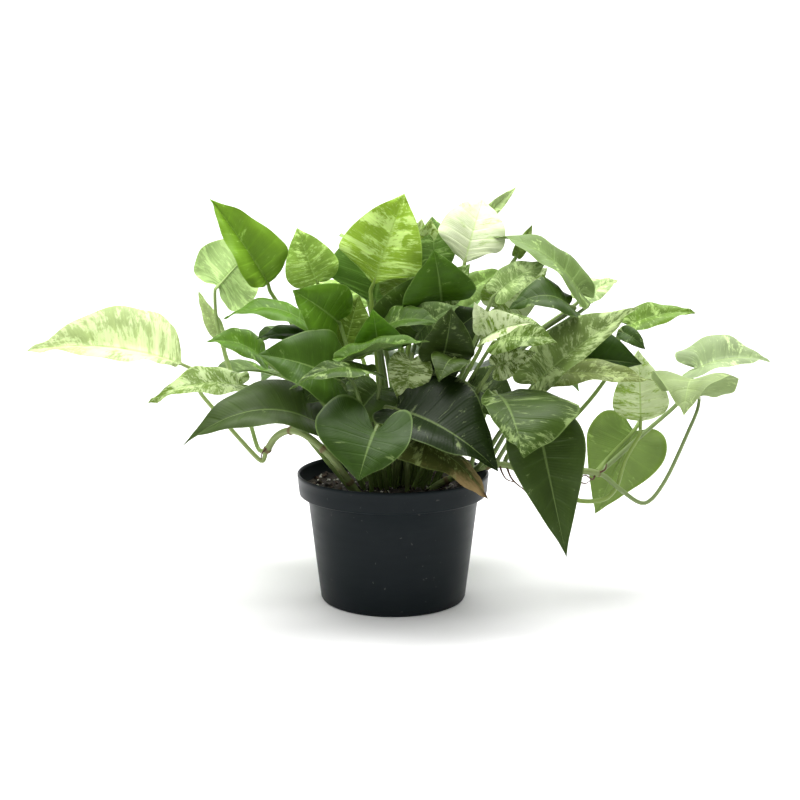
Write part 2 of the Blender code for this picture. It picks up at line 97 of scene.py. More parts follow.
def setStudio():
    scene = bpy.context.scene
    scene.view_settings.view_transform = "Standard"
    camera = bpy.data.objects.new("camera", bpy.data.cameras.new("camera"))
    camera.location = studio["cameraPlace"]
    camera.rotation_euler = (radians(studio["cameraTilt"]), 0, 0)
    camera.data.lens = studio["lens"]
    scene.collection.objects.link(camera)
    scene.camera = camera
    scene.world = bpy.data.worlds.new("sky")
    scene.world.use_nodes = True
    sky = scene.world.node_tree.nodes["Background"]
    sky.inputs["Color"].default_value = (1, 1, 1, 1)
    sky.inputs["Strength"].default_value = studio["skyLight"]
    for lamp in studio["lamps"]:
        addLamp(*lamp)
    addFloor()


class Wire:  # a socket that can stand in sums, each of which adds a Math node
    def __init__(self, tree, socket):
        self.tree = tree
        self.socket = socket

    def sum(self, how, first, second):
        node = self.tree.nodes.new("ShaderNodeMath")
        node.operation = how
        plug(self.tree, node.inputs[0], first)
        plug(self.tree, node.inputs[1], second)
        return Wire(self.tree, node.outputs[0])

    def __add__(self, other):
        return self.sum("ADD", self, other)

    def __sub__(self, other):
        return self.sum("SUBTRACT", self, other)

    def __rsub__(self, other):
        return self.sum("SUBTRACT", other, self)

    def __mul__(self, other):
        return self.sum("MULTIPLY", self, other)

    def __abs__(self):
        return self.sum("ABSOLUTE", self, 0)

    def fraction(self):
        return self.sum("FRACT", self, 0)

    def most(self, other):
        return self.sum("MAXIMUM", self, other)

    __radd__ = __add__
    __rmul__ = __mul__


def plug(tree, socket, value):  # a link from a wire, or a plain value
    if isinstance(value, Wire):
        tree.links.new(value.socket, socket)
    elif isinstance(value, tuple) and socket.type == "RGBA" and len(value) == 3:
        socket.default_value = (*value, 1)
    else:
        socket.default_value = value


class Paint:  # one material and the ways to add to it
    def __init__(self, name):
        self.material = bpy.data.materials.new(name)
        self.material.use_nodes = True
        self.tree = self.material.node_tree
        self.shader = self.tree.nodes["Principled BSDF"]

    def node(self, kind, settings=None, sockets=None, out=0):
        made = self.tree.nodes.new("ShaderNode" + kind)
        for key, value in (settings or {}).items():
            setattr(made, key, value)
        for key, value in (sockets or {}).items():
            plug(self.tree, made.inputs[key], value)
        return Wire(self.tree, made.outputs[out])

    def mix(self, share, a, b):  # of two colours
        return self.node("Mix", {"data_type": "RGBA"}, {0: share, 6: a, 7: b}, out=2)

    def times(self, color, value):  # a colour made lighter or darker
        return self.node("VectorMath", {"operation": "SCALE"}, {0: color, "Scale": value})

    def noise(self, place, scale, detail=3, rough=0.5, bend=0):
        sockets = {"Vector": place, "Scale": scale, "Detail": detail, "Roughness": rough, "Distortion": bend}
        return self.node("TexNoise", {}, sockets)

    def rise(self, value, low, high):  # 0 below low, 1 above high, smooth between
        sockets = {"Value": value, "From Min": low, "From Max": high}
        return self.node("MapRange", {"interpolation_type": "SMOOTHSTEP"}, sockets)

    def place(self, x, y, z):
        return self.node("CombineXYZ", {}, {"X": x, "Y": y, "Z": z})

    def spot(self):  # where a point lies in its own object
        return self.node("TexCoord", out=3)

    def split(self, vector):
        made = self.node("SeparateXYZ", {}, {0: vector}).socket.node
        return [Wire(self.tree, output) for output in made.outputs]

    def bump(self, height, strength, distance):
        sockets = {"Height": height, "Strength": strength, "Distance": distance}
        plug(self.tree, self.shader.inputs["Normal"], self.node("Bump", {}, sockets))

    def finish(self, color, roughness, **uniform):
        # uniform names the shader's other sockets, with _ for a space, and gives each one value
        plug(self.tree, self.shader.inputs["Base Color"], color)
        plug(self.tree, self.shader.inputs["Roughness"], roughness)
        for key, value in uniform.items():
            self.shader.inputs[key.replace("_", " ")].default_value = value


def nodeName(name):  # leafFrontHeart stands for the CAD node leaf_front_heart
    return "".join("_" + letter.lower() if letter.isupper() else letter for letter in name)


def addPiece(name, mesh, materials, node=None):
    piece = bpy.data.objects.new(name, mesh)
    bpy.context.scene.collection.objects.link(piece)
    for material in materials:
        mesh.materials.append(material)
    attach(piece, "root")
    if node:
        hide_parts(node)
    return piece


def smoothPath(points, steps):
    # A curve through points. Its slopes are no longer than the span they are on, so that it can't loop there.
    points = [Vector(point) for point in points]
    ends = [2 * points[0] - points[1]] + points + [2 * points[-1] - points[-2]]
    path = []
    for a, b, c, d in zip(ends, ends[1:], ends[2:], ends[3:]):
        most = (c - b).length
        slopes = ((c - a) / 2, (d - b) / 2)
        leave, arrive = [slope * min(1, most / max(slope.length, 1e-9)) for slope in slopes]
        for step in range(steps):
            t = step / steps
            curve = b * (2 * t**3 - 3 * t**2 + 1) + c * (3 * t**2 - 2 * t**3)
            path.append(curve + leave * (t**3 - 2 * t**2 + t) + arrive * (t**3 - t**2))
    return path + [points[-1]]


class Shell:
    # A mesh in the making. Each point has its place on the surface (uv), its base colour (tone), its leaf's
    # cream, seed and wilt (look), and 1 on the lower skin of a blade (under).
    def __init__(self):
        self.points = []
        self.uvs = []
        self.tones = []
        self.looks = []
        self.under = []
        self.faces = []
        self.slots = []

    def point(self, place, uv, tone, look=(0, 0, 0), under=0.0):
        self.points.append(tuple(place))
        self.uvs.append(uv)
        self.tones.append(tone)
        self.looks.append(look)
        self.under.append(under)
        return len(self.points) - 1

    def face(self, corners, slot=0):  # corners that meet in one point are taken once
        own = []
        for corner in corners:
            if corner not in own:
                own.append(corner)
        if len(own) > 2:
            self.faces.append(own)
            self.slots.append(slot)

    def mesh(self, name):
        mesh = bpy.data.meshes.new(name)
        mesh.from_pydata(self.points, [], self.faces)
        mesh.polygons.foreach_set("material_index", self.slots)
        mesh.uv_layers.new(name="surface")
        fills = (
            ("tone", "FLOAT_COLOR", "color", [v for color in self.tones for v in (*color, 1)]),
            ("look", "FLOAT_VECTOR", "vector", [v for vector in self.looks for v in vector]),
            ("under", "FLOAT", "value", self.under),
        )
        for key, kind, field, values in fills:  # a new layer moves the others, so each is filled at once
            mesh.attributes.new(key, kind, "POINT").data.foreach_set(field, values)
        corners = [loop.vertex_index for loop in mesh.loops]
        mesh.uv_layers["surface"].data.foreach_set("uv", [v for corner in corners for v in self.uvs[corner]])
        shape = bmesh.new()
        shape.from_mesh(mesh)
        bmesh.ops.recalc_face_normals(shape, faces=shape.faces)
        shape.to_mesh(mesh)
        shape.free()
        mesh.shade_smooth()
        mesh.set_sharp_from_angle(angle=radians(60))
        return mesh


def joinRings(shell, rings, slot=0):
    for ring, after in zip(rings, rings[1:]):
        for side in range(len(ring)):
            beside = (side + 1) % len(ring)
            shell.face([ring[side], ring[beside], after[beside], after[side]], slot)


def addTube(shell, path, radii, tone, sides, slot, across=None, groove=0.0, look=(0, 0, 0)):
    # A closed round tube along path. groove presses in the side that faces across x heading, a stalk's top.
    across = across or Vector((1, 0, 0.01))
    rings = []
    run = 0
    for index, place in enumerate(path):
        heading = (path[min(index + 1, len(path) - 1)] - path[max(index - 1, 0)]).normalized()
        across = (across - heading * across.dot(heading)).normalized()
        over = across.cross(heading)
        run += (place - path[max(index - 1, 0)]).length
        ring = []
        for side in range(sides):
            turn = 2 * pi * side / sides
            radius = radii[index] * (1 - groove * max(0, sin(turn)) ** 3)
            spot = place + (across * cos(turn) + over * sin(turn)) * radius
            ring.append(shell.point(spot, (run / 0.1, side / sides), tone, look))
        rings.append(ring)
    joinRings(shell, rings, slot)
    shell.face(rings[0], slot)
    shell.face(rings[-1][::-1], slot)


leafShape = {
    # round the margin from the sinus to the tip: share of the length, share of the half width, how far a lobe
    # draws it back, and where its side vein leaves the midrib
    "outline": [
        (0.0, 0.05, 0.0, 0.0), (0.04, 0.40, 0.14, 0.02), (0.12, 0.80, 0.16, 0.07), (0.24, 1.0, 0.04, 0.18),
        (0.46, 0.86, 0.0, 0.36), (0.72, 0.52, 0.0, 0.60), (0.90, 0.18, 0.0, 0.84), (1.0, 0.0, 0.0, 1.0),
    ],
    "rowsPerSpan": 5,
    "lobeBow": 3,  # how late a row bends back into a lobe
    "stepsPerHalf": 7,
    "thickness": 0.55 * mm,
    "midribDip": 0.5 * mm,
    "puff": 0.15,  # how far each half bulges, as a share of its width
    "quilt": 0.35 * mm,  # the raised strips between side veins
    "quiltsPerSpan": 1.5,
    "waves": (2.3, 4.9),  # radians in each span of the outline, for a long wave and one half as high
    "fullLength": 80 * mm,  # a shorter leaf has less ripple and quilt, and a thinner stalk
    "stalkFoot": 2.2 * mm,  # radius at the foot
    "stalkEnd": 1.5 * mm,  # and at the joint
    "stalkSides": 10,
    "stalkGroove": 0.28,
    "stalkTone": (0.24, 0.32, 0.10),
    "stepsPerBend": 6,
    "neck": (0.10, 0.06),  # how far behind and below the joint a stalk bends, as shares of the length
    "neckRoom": 0.03,  # the most a stalk's radius may be at the joint, as a share of the blade's width
    "neckLeast": 0.9 * mm,  # but never less than this
    "neckSpread": 0.35,  # how fast it may thicken away from the joint
    "freeFoot": (0.24, 93.5 * mm),  # where a stalk without points starts: share of the joint's x, y, height
    "freeBend": (0.38, 0.62),  # and where it bends: share of the way out, share of the way up
    "soilLine": 97 * mm,  # a stalk that starts lower than this
    "footDepth": 7 * mm,  # goes on this far into the soil
    "ribSteps": 8,
    "ribReach": 0.6,  # how far the stalk runs on under the blade as its midrib
    "ribStart": 0.8,  # the midrib's radius at the joint, as a share of the stalk's
    "ribEnd": 0.2 * mm,  # and what is left of it at its end
}
outlineSpans = len(leafShape["outline"]) - 1
plainLeaf = {  # what a leaf has unless its own entry in leaves says otherwise
    "slot": "leaf_green", "faces": (0, -0.6, 0.8), "width": 0.8, "fold": 10, "arch": 0.1,
    "left": 1, "right": 1, "lobe": 1, "taper": 0, "twist": 0, "wilt": 0, "ripple": 2.0 * mm,
}


def outlineRows():  # the outline with more rows, on a smooth curve through the given ones
    given = leafShape["outline"]
    before = [2 * p - q for p, q in zip(given[0], given[1])]
    beyond = [2 * p - q for p, q in zip(given[-1], given[-2])]
    ends = [before] + given + [beyond]
    rows = []
    for four in zip(ends, ends[1:], ends[2:], ends[3:]):
        for step in range(leafShape["rowsPerSpan"]):
            t = step / leafShape["rowsPerSpan"]
            row = []
            for a, b, c, d in zip(*four):
                square = (2 * a - 5 * b + 4 * c - d) * t**2
                cube = (3 * b - a - 3 * c + d) * t**3
                row.append(0.5 * (2 * b + (c - a) * t + square + cube))
            rows.append(row)
    return rows + [list(given[-1])]


def bladeAxes(spec):  # the joint, the length, and the directions to the tip, across and up from the blade
    joint = Vector(spec["joint"]) * mm
    chord = Vector(spec["tip"]) * mm - joint
    along = chord.normalized()
    faces = Vector(spec["faces"])
    up = (faces - along * faces.dot(along)).normalized()
    return joint, chord.length, along, along.cross(up), up


def bladePoint(spec, axes, share, across, out, row, seed):
    # share is from the joint to the tip, across from -1 to 1, out from midrib to margin, row counts the spans
    joint, length, along, side, up = axes
    half = 0.5 * spec["width"] * length * across * spec["right" if across > 0 else "left"]
    half *= 1 - spec["taper"] * share
    turn = radians(spec["fold"])
    flat = half * cos(turn)
    lift = abs(half) * sin(turn)
    roll = radians(spec["twist"]) * share
    flat, lift = flat * cos(roll) - lift * sin(roll), flat * sin(roll) + lift * cos(roll)
    hump = 4 * share * (1 - share) if share > 0 else share
    lift += spec["arch"] * length * hump
    size = min(1, length / leafShape["fullLength"])
    lift += leafShape["puff"] * abs(half) * sin(pi * out)
    lift += leafShape["quilt"] * size * sin(pi * out) * cos(2 * pi * row * leafShape["quiltsPerSpan"] + seed)
    long, short = leafShape["waves"]
    wave = sin(row * long + seed * 9 + (2 if across > 0 else 0)) + 0.5 * sin(row * short + seed * 21)
    calm = min(1, outlineSpans - row) * min(1, row)  # no wave at the tip or the sinus
    lift += spec["ripple"] * size * out**3 * wave * calm
    return joint + along * share * length + side * flat + up * lift


def stalkPath(spec, axes):
    joint, length, along, side, up = axes
    behind, below = leafShape["neck"]
    neck = joint - (along * behind + up * below) * length
    if "stalk" in spec:
        points = [Vector(point) * mm for point in spec["stalk"]] + [neck, joint]
    else:
        reach, height = leafShape["freeFoot"]
        wayOut, wayUp = leafShape["freeBend"]
        foot = Vector((joint.x * reach, joint.y * reach, height))
        bend = foot.lerp(neck, wayOut)
        bend.z = foot.z + wayUp * (neck.z - foot.z)
        points = [foot, bend, neck, joint]
    if "base" in spec:
        points.insert(0, Vector(spec["base"]) * mm)
    elif points[0].z < leafShape["soilLine"]:
        points.insert(0, points[0] - (points[1] - points[0]).normalized() * leafShape["footDepth"])
    return smoothPath(points, leafShape["stepsPerBend"])


def addBlade(shell, spec, axes, seed, look):
    up = axes[-1]
    steps = leafShape["stepsPerHalf"]
    rows = outlineRows()
    last = len(rows) - 1
    grid = []
    for index, (end, reach, lobeReach, start) in enumerate(rows):
        end -= lobeReach * spec["lobe"]
        row = {}  # for each step across, the points of the upper and the lower skin
        for step in range(-steps, steps + 1):
            out = abs(step) / steps
            share = start + (end - start) * (out**leafShape["lobeBow"] if end < start else out)
            across = max(0, reach) * out * (1 if step > 0 else -1)
            place = bladePoint(spec, axes, share, across, out, outlineSpans * index / last, seed)
            uv = (index / last, 0.5 + 0.5 * step / steps)
            if index == last:
                if "tip" not in row:
                    row["tip"] = shell.point(place, uv, spec["tone"], look)
                row[step] = (row["tip"], row["tip"])
            elif abs(step) == steps:
                margin = shell.point(place, uv, spec["tone"], look)
                row[step] = (margin, margin)
            else:
                thick = 0.5 * leafShape["thickness"] * (1 - out**3)
                dip = leafShape["midribDip"] * max(0, 1 - 5 * out) * (1 - index / last)
                top = shell.point(place + up * (thick - dip), uv, spec["tone"], look)
                low = shell.point(place - up * (thick + dip), uv, spec["tone"], look, 1.0)
                row[step] = (top, low)
        grid.append(row)
    for row, after in zip(grid, grid[1:]):
        for step in range(-steps, steps):
            for skin in (0, 1):
                shell.face([row[step][skin], row[step + 1][skin], after[step + 1][skin], after[step][skin]])
    for step in range(-steps, steps):
        first = grid[0]
        shell.face([first[step][0], first[step + 1][0], first[step + 1][1], first[step][1]])


def addStalk(shell, spec, axes, seed, look):  # from the foot to the joint, and on as the blade's midrib
    joint, length, along, side, up = axes
    path = stalkPath(spec, axes)
    foot = leafShape["stalkFoot"]
    end = leafShape["stalkEnd"] * (0.75 + 0.25 * min(1, length / leafShape["fullLength"]))
    room = leafShape["neckRoom"] * spec["width"] * length * min(spec["left"], spec["right"])
    room = max(room, leafShape["neckLeast"])
    radii = []
    for index, place in enumerate(path):
        radius = foot + (end - foot) * index / (len(path) - 1)
        radii.append(min(radius, room + leafShape["neckSpread"] * (place - joint).length))
    for index in range(1, leafShape["ribSteps"] + 1):
        done = index / leafShape["ribSteps"]
        share = leafShape["ribReach"] * done
        radius = end * leafShape["ribStart"] * (1 - done) + leafShape["ribEnd"]
        rib = bladePoint(spec, axes, share, 0, 0, outlineSpans * share, seed)
        path.append(rib - up * (leafShape["midribDip"] * (1 - share) + radius * 0.5 + 0.1 * mm))
        radii.append(radius)
    # half the leaf's tone, painted shade included, and half the stalk's own tone
    tone = tuple(0.5 * a + 0.5 * b for a, b in zip(spec["tone"], leafShape["stalkTone"]))
    addTube(shell, path, radii, tone, leafShape["stalkSides"], 1, side, leafShape["stalkGroove"], look)


def addLeaf(name, spec, seed, paints):
    shell = Shell()
    axes = bladeAxes(spec)
    look = (spec["cream"], seed, spec["wilt"])
    addBlade(shell, spec, axes, seed, look)
    addStalk(shell, spec, axes, seed, look)
    node = nodeName(name) if name.startswith("leaf") else None
    addPiece(name, shell.mesh(name), paints, node)


leafFinish = {
    "rough": 0.40,
    "underRough": 0.6,
    "shine": 0.16,  # the level of its reflections
    "creamDeep": (0.44, 0.54, 0.24),
    "creamPale": (0.74, 0.79, 0.58),
    "ribTone": (0.30, 0.42, 0.14),
    "underTone": (0.26, 0.36, 0.14),
    "tan": (0.30, 0.21, 0.09),
    "brown": (0.07, 0.04, 0.02),
    "sideVeins": 10.5,
    "fineVeins": 7,  # for each side vein
    "edge": (0.955, 0.99),  # where the pale margin starts and is full, from midrib to margin
    "relief": 0.35,
}


def leafPaint():
    paint = Paint("leafBlade")
    along, side, _ = paint.split(paint.node("UVMap", {"uv_map": "surface"}))
    out = abs(side * 2 - 1)
    cream, seed, wilt = paint.split(paint.node("Attribute", {"attribute_name": "look"}, out=1))
    under = paint.node("Attribute", {"attribute_name": "under"}, out=2)
    red, green, blue = paint.split(paint.node("Attribute", {"attribute_name": "tone"}))
    blueShare = paint.rise(green, 0.18, 0.42) * 0.5 + 0.6  # dark greens are purer than pale ones
    tone = paint.place(red, green, blue * blueShare)

    # splashes and flecks of cream that run out along the side veins
    splashPlace = paint.place(along * 9 + seed * 13, side * 1.8 + seed * 5, seed * 3)
    splash = paint.noise(splashPlace, 1, 7, 0.68, 0.5)
    fleck = paint.noise(paint.place(along * 52 + seed * 7, side * 5, seed * 9), 1, 5, 0.7, 0.5)
    flecks = paint.rise(fleck + cream * 0.24, 0.65, 0.76) * 0.75
    creamMask = paint.rise(splash + fleck * 0.40 + cream * 0.30, 0.83, 0.94).most(flecks)
    creamMask = creamMask * paint.rise(cream, 0.0, 0.1)
    grain = paint.noise(paint.place(along * 30, side * 6, seed * 4), 1)
    creamTone = paint.mix(grain, leafFinish["creamDeep"], leafFinish["creamPale"])
    streaked = paint.mix(0.35, paint.times(tone, 2.2), leafFinish["creamDeep"])
    creamTone = paint.mix(paint.rise(cream, 0.3, 0.95), streaked, creamTone)
    shade = paint.noise(paint.place(along * 6 + seed * 3, side * 3, seed * 17), 1, 4) * 0.9 + 0.55
    color = paint.mix(creamMask, paint.times(tone, shade), creamTone)

    # side veins, midrib and margin
    veinGap = abs((along * leafFinish["sideVeins"] + 0.25).fraction() - 0.5)
    vein = (1 - paint.rise(veinGap, 0.02, 0.13)) * (1 - out * 0.8)
    fineGap = abs((along * leafFinish["sideVeins"] * leafFinish["fineVeins"]).fraction() - 0.5)
    fineVein = 1 - paint.rise(fineGap, 0.1, 0.4)
    rib = 1 - paint.rise(out, 0.012, 0.05)
    color = paint.mix(vein * 0.22 + fineVein * 0.05, color, paint.times(color, 1.7))
    color = paint.mix(rib * 0.65, color, paint.mix(0.45, paint.times(tone, 1.6), leafFinish["ribTone"]))
    edge = paint.mix(0.5, paint.times(tone, 1.8), leafFinish["ribTone"])
    color = paint.mix(paint.rise(out, *leafFinish["edge"]) * 0.5, color, edge)
    color = paint.mix(under, color, paint.mix(0.35, color, leafFinish["underTone"]))

    # wilting from the tip and the margin inwards
    dryNoise = paint.noise(paint.place(along * 9, side * 5, 2.0), 1, 6, 0.7)
    dry = paint.rise(along + out * 0.25 + dryNoise * 0.7, 1.1, 1.4) * wilt
    dead = paint.rise(along + dryNoise * 0.3, 1.0, 1.12) * wilt
    color = paint.mix(dry, color, leafFinish["tan"])
    color = paint.mix(dead, color, leafFinish["brown"])

    pores = paint.noise(paint.spot(), 900, 2)
    height = creamMask * 0.12 - vein * 0.55 - rib * 0.8 - fineVein * 0.10
    paint.bump(height + pores * 0.10 + dryNoise * wilt * 1.4, leafFinish["relief"], 1.2 * mm)
    rougher = under * (leafFinish["underRough"] - leafFinish["rough"])
    rough = leafFinish["rough"] + pores * 0.08 + rougher + wilt * 0.3
    paint.finish(color, rough, Specular_IOR_Level=leafFinish["shine"])
    return paint.material


def stalkPaint():
    paint = Paint("leafStalk")
    along, side, _ = paint.split(paint.node("UVMap", {"uv_map": "surface"}))
    tone = paint.node("Attribute", {"attribute_name": "tone"})
    streak = paint.noise(paint.place(along * 1.5, side * 24, 0.0), 1, 4)
    blotch = paint.noise(paint.spot(), 60, 3)
    color = paint.times(tone, streak * 0.8 + 0.45 + blotch * 0.3)
    paint.bump(streak, 0.25, 0.6 * mm)
    paint.finish(color, blotch * 0.15 + 0.36, Specular_IOR_Level=0.3)
    return paint.material


def leaf(joint, tip, tone, cream, **more):  # one row of the table below
    return {**plainLeaf, "joint": joint, "tip": tip, "tone": tone, "cream": cream, **more}
